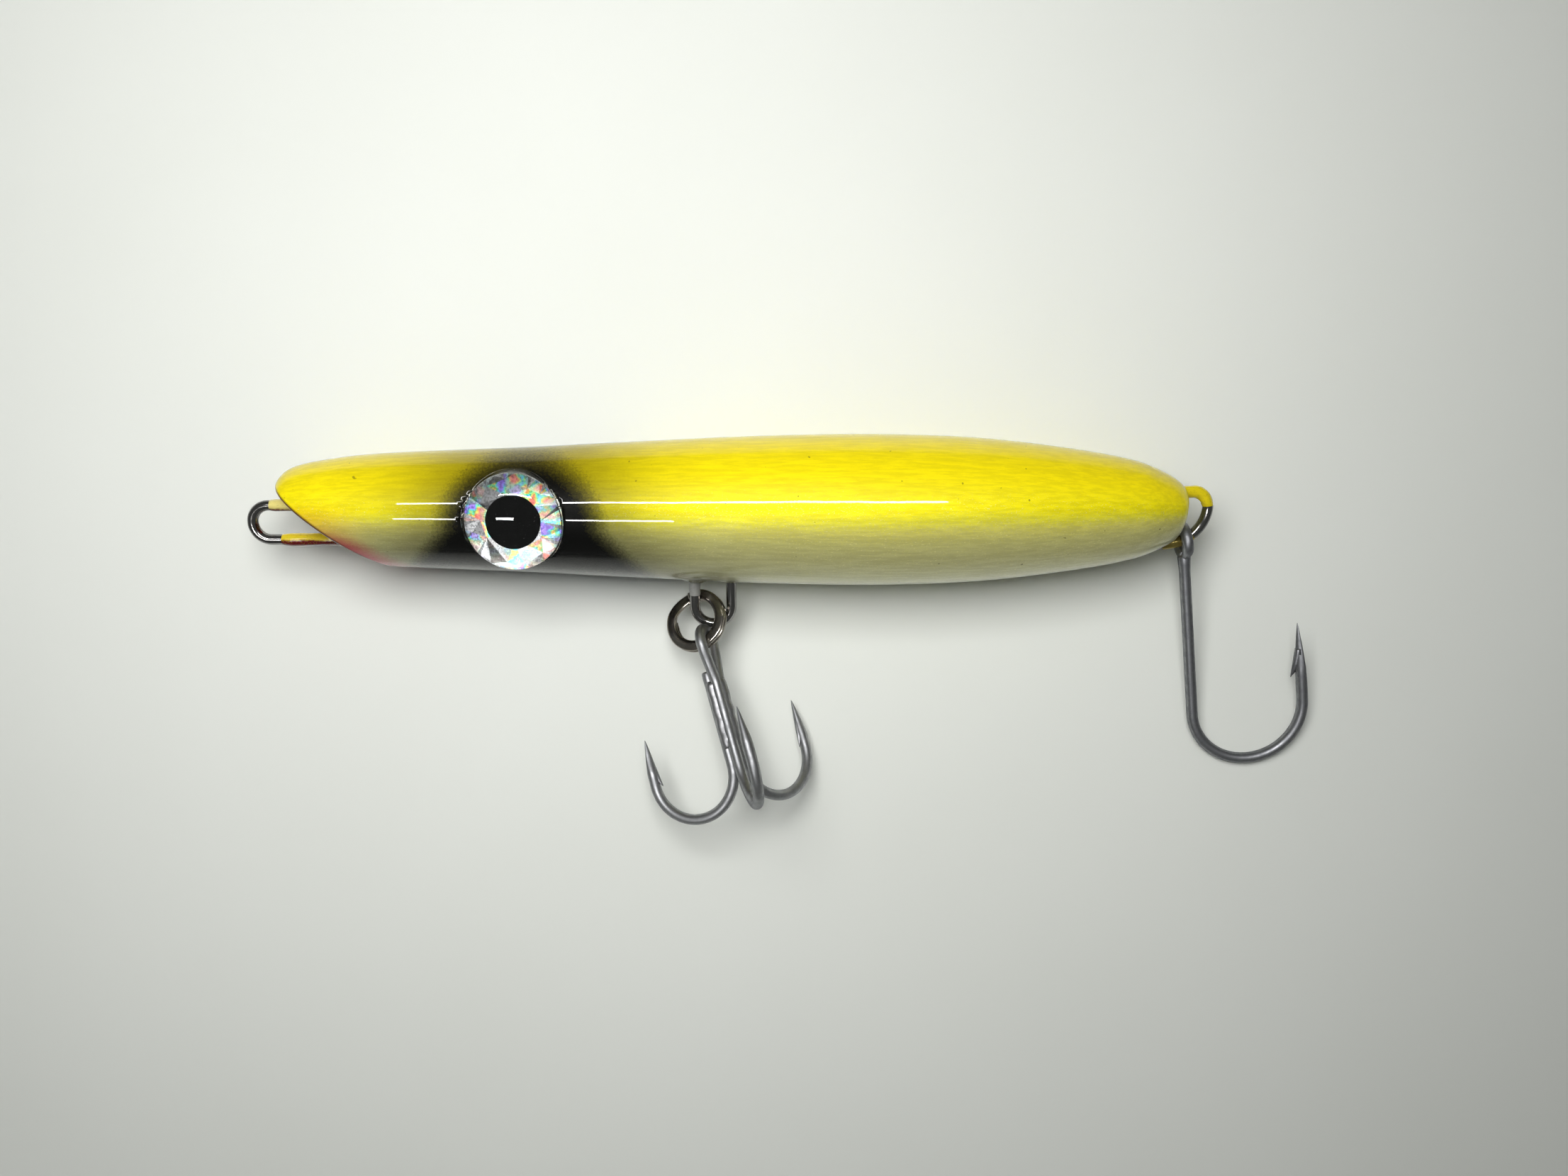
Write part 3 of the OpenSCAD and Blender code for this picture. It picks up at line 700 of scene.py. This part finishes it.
sleeve("nose_run_upper", line(-2.0, RUN_NOSE, 8.2, RUN_NOSE, 40), 0.28, NOSE_UP, "yellow_coat",
       "nose_coat_upper", 1)
sleeve("nose_run_lower", line(-0.4, RUN_LOW, 15.6, RUN_LOW, 50), 0.30, NOSE_LOW, "red_coat",
       "nose_coat_lower", 2)
sleeve("belly_run", line(LEG_AHEAD, -12.6, LEG_AHEAD, -16.2, 20), 0.16, BELLY_COAT, "grey_coat",
       "belly_coat", 3)
sleeve("tail_run_upper", chain(line(163.4, RUN_TAIL, TX, RUN_TAIL, 12), arc(TX, TZ, 3.0, 90, 8, 30)), 0.22,
       TAIL_UP, "yellow_coat", "tail_coat_upper", 4)
sleeve("tail_run_lower",
       chain(arc(WX, WZ, 7.0, -50, -80, 22), line(LX, LZ, LX + 2.2 * leg[0], LZ + 2.2 * leg[1], 8)), 0.12,
       TAIL_LOW, "amber_coat", "tail_coat_lower", 5)


def mound(r_out, height, seed):
    """Small epoxy mound round a wire, lying on a flat surface: x, y and height over it."""
    r = np.random.default_rng(seed)
    ph = r.uniform(0, 6.28, 3)
    a = np.linspace(0, 2 * math.pi, 40, endpoint=False)
    uneven = 1 + 0.12 * np.sin(2 * a + ph[0]) + 0.08 * np.sin(3 * a + ph[1])
    rows = []
    for u in np.linspace(0, 1, 10):
        rad = WIRE / 2 + (r_out * uneven - WIRE / 2) * (1 - (1 - u) ** 2.2)
        rows.append(np.stack([rad * np.cos(a), rad * np.sin(a), np.full(40, height * (1 - u) ** 1.8)], 1))
    return np.concatenate(rows)


def belly_mound(x, r_out, height, seed):
    """The mound where a leg of the belly loop leaves the body."""
    p = mound(r_out, height, seed)
    base = np.interp(x + p[:, 0], PX, PR)
    z = -np.sqrt(np.maximum(base**2 - p[:, 1] ** 2, 1)) - p[:, 2] + 0.05
    return lure(np.stack([x + p[:, 0], p[:, 1], z], 1)), grid(10, 40, False)


def face_mound(z, r_out, height, seed):
    """The mound where a leg of the line tie leaves the slanted face."""
    p = mound(r_out, height, seed)
    n = np.array([-math.sin(FACE_ANGLE), 0, -math.cos(FACE_ANGLE)])
    on_face = np.stack([(FACE_TOP - (z + p[:, 1])) / ENDS[0], p[:, 0], z + p[:, 1]], 1)
    return lure(on_face + (p[:, 2:] - 0.4) * n), grid(10, 40, False)


piece("belly_collars", [belly_mound(LEG_AHEAD, 3.0, 1.1, 1), belly_mound(LEG_BEHIND, 2.4, 0.6, 2)],
      EPOXY, "plug", "lens")
piece("nose_collars", [face_mound(RUN_NOSE, 2.0, 1.0, 3), face_mound(RUN_LOW, 2.2, 1.1, 4)],
      NOSE_LOW, "plug", "red_coat")

# ---- split ring ----

def ring_mesh():
    """One double coil of flat wire with two free ends and the step between its turns."""
    step_at, half, radius, pitch = 150, 30, 5.0, 0.95
    phi = np.linspace(step_at + half + 4, step_at + 720 - half - 4, 260)
    s = np.clip((phi - (step_at + 360 - half)) / (2 * half), 0, 1)
    zc = -pitch / 2 + pitch * s * s * (3 - 2 * s)
    wob = 0.05 * np.sin(np.radians(phi) * 0.5 + 0.6)
    w, h, square = 1.0, 0.465, 0.68
    b = np.linspace(0, 2 * math.pi, 28, endpoint=False)
    ca, sa = np.cos(b), np.sin(b)
    corner = list(zip(w * np.sign(ca) * abs(ca) ** square, -h * np.sign(sa) * abs(sa) ** square))
    out = []
    for i, f in enumerate(np.radians(phi)):
        k = min(1.0, 0.72 + 0.28 * min(i, len(phi) - 1 - i) / 6)
        for a, b in corner:
            rad = radius + wob[i] * 0.4 + a * k
            out.append((rad * math.cos(f), rad * math.sin(f), zc[i] + b * k))
    return ring_frame(np.array(out)), grid(len(phi), len(corner))


piece("split_ring_coil", [ring_mesh()], NICKEL, "ring", "ring_wire", "split_ring")

# ---- hooks ----

def blade(point_from):
    """Section that goes from round to a three-cornered ground point."""
    def shape(i, a):
        k = np.clip((i - point_from) / 10, 0, 1) * 0.65
        tri = 1 / (np.cos((a + math.pi / 3) % (2 * math.pi / 3) - math.pi / 3) + 1e-6)
        tri = np.clip(tri * 0.72, 0, 1.25)
        rad = 1 - k + k * tri
        return np.stack([rad * np.cos(a), rad * np.sin(a)], 1)
    return shape


def hook_curve(shank_top, shank, radius, spear, lean_in, n=40):
    """Shank, bend and spear in the hook's own plane; the spear leans in a little towards the shank."""
    a = np.radians(np.linspace(180, 360, n))
    bend = np.stack([radius + radius * np.cos(a), 0 * a, -shank + radius * np.sin(a)], 1)
    t = np.linspace(0, 1, 26)[1:]
    sp = np.stack([2 * radius - lean_in * t**1.6, 0 * t, -shank + spear * t], 1)
    down = np.stack([np.zeros(24), np.zeros(24), np.linspace(shank_top, -shank, 24)], 1)
    return chain(down, bend, sp)


def spear_radius(path, wire, point):
    """Wire radius with the ground point's taper; counted back from the tip."""
    d = np.concatenate([[0], np.cumsum(np.linalg.norm(np.diff(path, axis=0), axis=1))])
    left = d[-1] - d
    r = np.full(len(path), wire / 2)
    k = np.clip(left / point, 0, 1)
    return np.where(left < point, wire / 2 * (0.05 + 0.95 * k ** 0.85), r)


def barb(path, wire, from_tip, length, out):
    """Sliver raised off the inner side of the spear; its free tip points back at the bend."""
    d = np.concatenate([[0], np.cumsum(np.linalg.norm(np.diff(path, axis=0), axis=1))])
    at = lambda s: np.array([np.interp(d[-1] - s, d, path[:, i]) for i in range(3)])
    inward = np.array([-1.0, 0, 0])
    root, tip = at(from_tip), at(from_tip + length)
    rows = []
    for u in np.linspace(0, 1, 12):
        c = root * (1 - u) + tip * u
        lift = wire * 0.36 + out * u
        under = lift * np.clip((u - 0.62) / 0.38, 0, 1) ** 0.7 * 0.98
        w = wire * 0.33 * (1 - u**2) + 0.05
        rows.append([c + inward * lift + [0, w * 0.35, 0], c + inward * lift - [0, w * 0.35, 0],
                     c + inward * under - [0, w, 0], c + inward * under + [0, w, 0]])
    return np.array(rows).reshape(-1, 3), grid(12, 4)


def spun(p, azimuth, at, drop=0.0):
    a = math.radians(azimuth)
    m = np.array([[math.cos(a), -math.sin(a), 0], [math.sin(a), math.cos(a), 0], [0, 0, 1]])
    return (np.asarray(p, float) + [at, 0, drop]) @ m.T


T_WIRE, T_BEND, T_EYE, T_SHANK, T_SPEAR, T_JOIN = 1.95, 7.95, 2.9, 22.6, 8.9, 6.4
BUNDLE = T_WIRE / math.sqrt(3) + 0.02
SX = BUNDLE * math.cos(math.radians(30))
REACH = math.hypot(SX, T_JOIN)
LEAN = math.atan2(T_JOIN, SX) - math.acos(T_EYE / REACH)


def treble_meshes():
    curve = hook_curve(-T_JOIN - 0.4, T_SHANK, T_BEND, T_SPEAR, 0.25)
    right = spun(curve, -30, BUNDLE)
    left = spun(curve, -150, BUNDLE)
    a = np.linspace(-LEAN, math.pi + LEAN, 60)
    eye = np.stack([T_EYE * np.cos(a), 0 * a - BUNDLE / 2, T_EYE * np.sin(a)], 1)
    strand = lambda p, q: p + (q - p) * np.linspace(0, 1, 14)[:, None]
    wire = chain(right[::-1], strand(right[0], eye[0]), eye, strand(eye[-1], left[0]), left)
    d = np.concatenate([[0], np.cumsum(np.linalg.norm(np.diff(wire, axis=0), axis=1))])
    u = np.arange(0, d[-1], 0.32)
    wire = np.stack([np.interp(u, d, wire[:, i]) for i in range(3)], 1)
    keep = wire.copy()
    for i in range(3):
        wire[:, i] = smoothed(wire[:, i], 2)
    wire[:8], wire[-8:] = keep[:8], keep[-8:]
    n = len(wire)
    end = np.minimum(u, u[-1] - u)
    r = np.where(end < 6, T_WIRE / 2 * (0.05 + 0.95 * np.clip(end / 6, 0, 1) ** 0.85), T_WIRE / 2)
    parts = [tube(wire, r, 22)]
    for az in (-30, -150):
        bv, bf = barb(curve, T_WIRE, 4.2, 4.9, 0.85)
        parts.append((spun(bv, az, BUNDLE), bf))
    third = hook_curve(-T_JOIN + 1.0, T_SHANK, T_BEND, T_SPEAR, 0.25)
    tv, tf = tube(third, spear_radius(third, T_WIRE, 6), 22, up=(0, 1, 0), shape=blade(len(third) - 16))
    bv, bf = barb(third, T_WIRE, 4.2, 4.9, 0.85)
    return parts, [(spun(tv, 90, BUNDLE), tf), (spun(bv, 90, BUNDLE), bf)]


double, third = treble_meshes()
for name, parts in (("double", double), ("third", third)):
    piece(f"treble_{name}", [(treble_frame(v), f) for v, f in parts], TIN, "treble", "treble_wire",
          f"treble_{name}_hook")


def braze_mesh():
    rows, cols = 46, 48
    a = np.linspace(0, 2 * math.pi, cols, endpoint=False)
    out = []
    for i in range(rows):
        u = i / (rows - 1)
        z = -T_JOIN - 0.6 - 12.6 * u
        feather = min(1, (u / 0.06) ** 0.5) * min(1, ((1 - u) / 0.12) ** 0.5)
        three = 1 - 0.13 * np.cos(3 * (a - math.pi / 2))
        r = (1.55 + 0.33 * feather) * three + 0.05 * np.sin(a * 2 + 23 * u) + 0.03 * math.sin(31 * u)
        out.append(np.stack([r * np.cos(a), r * np.sin(a), np.full(cols, z)], 1))
    return treble_frame(np.concatenate(out)), grid(rows, cols)


piece("treble_braze_run", [braze_mesh()], BRAZE, "treble", "braze", "treble_braze")

H_WIRE, H_BEND, H_SHANK, H_SPEAR, H_EYE = 2.05, 10.5, 34.3, 15.5, 2.65
H_LEAN, H_LIFT = math.radians(7.9), 0.4
HX, HZ = WX + 7.25 * math.cos(math.radians(-65)), WZ + 7.25 * math.sin(math.radians(-65))


def tail_hook_frame(p):
    p = np.asarray(p, float)
    c, s = math.cos(H_LEAN), math.sin(H_LEAN)
    q = np.stack([p[:, 0] * c - p[:, 2] * s, p[:, 1], p[:, 0] * s + p[:, 2] * c], 1) @ turn(-H_LIFT, 0, 0).T
    return lure(q + [HX, 0, HZ])


def tail_hook_meshes():
    curve = hook_curve(-H_EYE - 0.4, H_SHANK, H_BEND, H_SPEAR, 0.55, 56)
    r = spear_radius(curve, H_WIRE, 9)
    top = curve[:, 2] > -H_EYE - 3.0
    r = np.where(top, r * (1 + 0.16 * np.clip((curve[:, 2] + H_EYE + 3.0) / 2.6, 0, 1)), r)
    parts = [tube(curve, r, 26, up=(0, 1, 0), shape=blade(len(curve) - 17))]
    b = np.radians(np.linspace(-90, 258, 80))
    eye = np.stack([0.06 * np.sin(b * 2), H_EYE * np.cos(b), H_EYE * np.sin(b)], 1)
    thin = H_WIRE / 2 * np.where(np.arange(80) > 68, 1 - 0.03 * (np.arange(80) - 68), 1.0)
    parts.append(tube(eye, thin, 24))
    parts.append(barb(curve, H_WIRE, 5.0, 5.6, 1.3))
    return [(tail_hook_frame(v), f) for v, f in parts]


piece("tail_hook_forged", tail_hook_meshes(), TIN2, "tail_hook", "tail_hook_wire", "tail_hook")

# ---- sealed weights keep their CAD shape ----

for n in ("belly_weight", "tail_weight"):
    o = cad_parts[n]
    o.data.materials.clear()
    o.data.materials.append(LEAD)

# ---- table, light and camera ----

def floor():
    m = Mat("table")
    n = m.noise(0.02, 3, 0.5)
    m.set(Base_Color=m.mix(n, (0.80, 0.82, 0.775), (0.84, 0.86, 0.82)), Roughness=0.75,
          Specular_IOR_Level=0.2)
    me = bpy.data.meshes.new("table")
    z = min(cad_low.z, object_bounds()[0].z)
    me.from_pydata([(-3, -3, z), (3, -3, z), (3, 3, z), (-3, 3, z)], [], [(0, 1, 2, 3)])
    me.materials.append(m.mat)
    o = bpy.data.objects.new("table", me)
    scene.collection.objects.link(o)


floor()


def area(name, at, target, size, size_y, power, colour=(1, 1, 1), glossy=True, diffuse=True):
    d = bpy.data.lights.new(name, "AREA")
    d.shape = "RECTANGLE"
    d.size, d.size_y = size, size_y
    d.energy = power
    d.color = colour
    o = bpy.data.objects.new(name, d)
    o.location = at
    o.rotation_euler = (Vector(target) - Vector(at)).to_track_quat("-Z", "Y").to_euler()
    o.visible_camera = False
    o.visible_glossy = glossy
    o.visible_diffuse = diffuse
    scene.collection.objects.link(o)
    return o


mid = Vector((0.09, 0.0, 0.0))
area("strip_back", (-0.13, 0.27, 2.0), (-0.13, 0.27, 0), 1.45, 0.09, 20, diffuse=False)
area("strip_front", (-0.62, -0.82, 2.0), (-0.62, -0.82, 0), 0.62, 0.09, 8, diffuse=False)
area("soft_top", (0.048, 0.068, 0.25), (0.048, 0.05, 0), 0.16, 0.16, 0.80, (1, 1, 0.985), glossy=False)
area("soft_wide", (0.0, 0.5, 1.3), mid, 1.2, 1.2, 0.8, glossy=False)

world = bpy.data.worlds.new("room")
scene.world = world
world.use_nodes = True
wn = world.node_tree
wn.nodes.clear()
path = wn.nodes.new("ShaderNodeLightPath")
dim = wn.nodes.new("ShaderNodeBackground")
dim.inputs[0].default_value = (0.5, 0.52, 0.5, 1)
dim.inputs[1].default_value = 0.20
lit = wn.nodes.new("ShaderNodeBackground")
lit.inputs[0].default_value = (0.97, 1, 0.96, 1)
lit.inputs[1].default_value = 0.09
mixed = wn.nodes.new("ShaderNodeMixShader")
wout = wn.nodes.new("ShaderNodeOutputWorld")
wn.links.new(path.outputs["Is Glossy Ray"], mixed.inputs[0])
wn.links.new(lit.outputs[0], mixed.inputs[1])
wn.links.new(dim.outputs[0], mixed.inputs[2])
wn.links.new(mixed.outputs[0], wout.inputs[0])

cam = bpy.data.cameras.new("camera")
cam.sensor_width = 36
cam.lens = 26.98
cam.clip_start, cam.clip_end = 0.01, 20
co = bpy.data.objects.new("camera", cam)
co.location = (0.09423, -0.01202, 0.21564)
scene.collection.objects.link(co)
scene.camera = co
scene.view_settings.view_transform = "Standard"
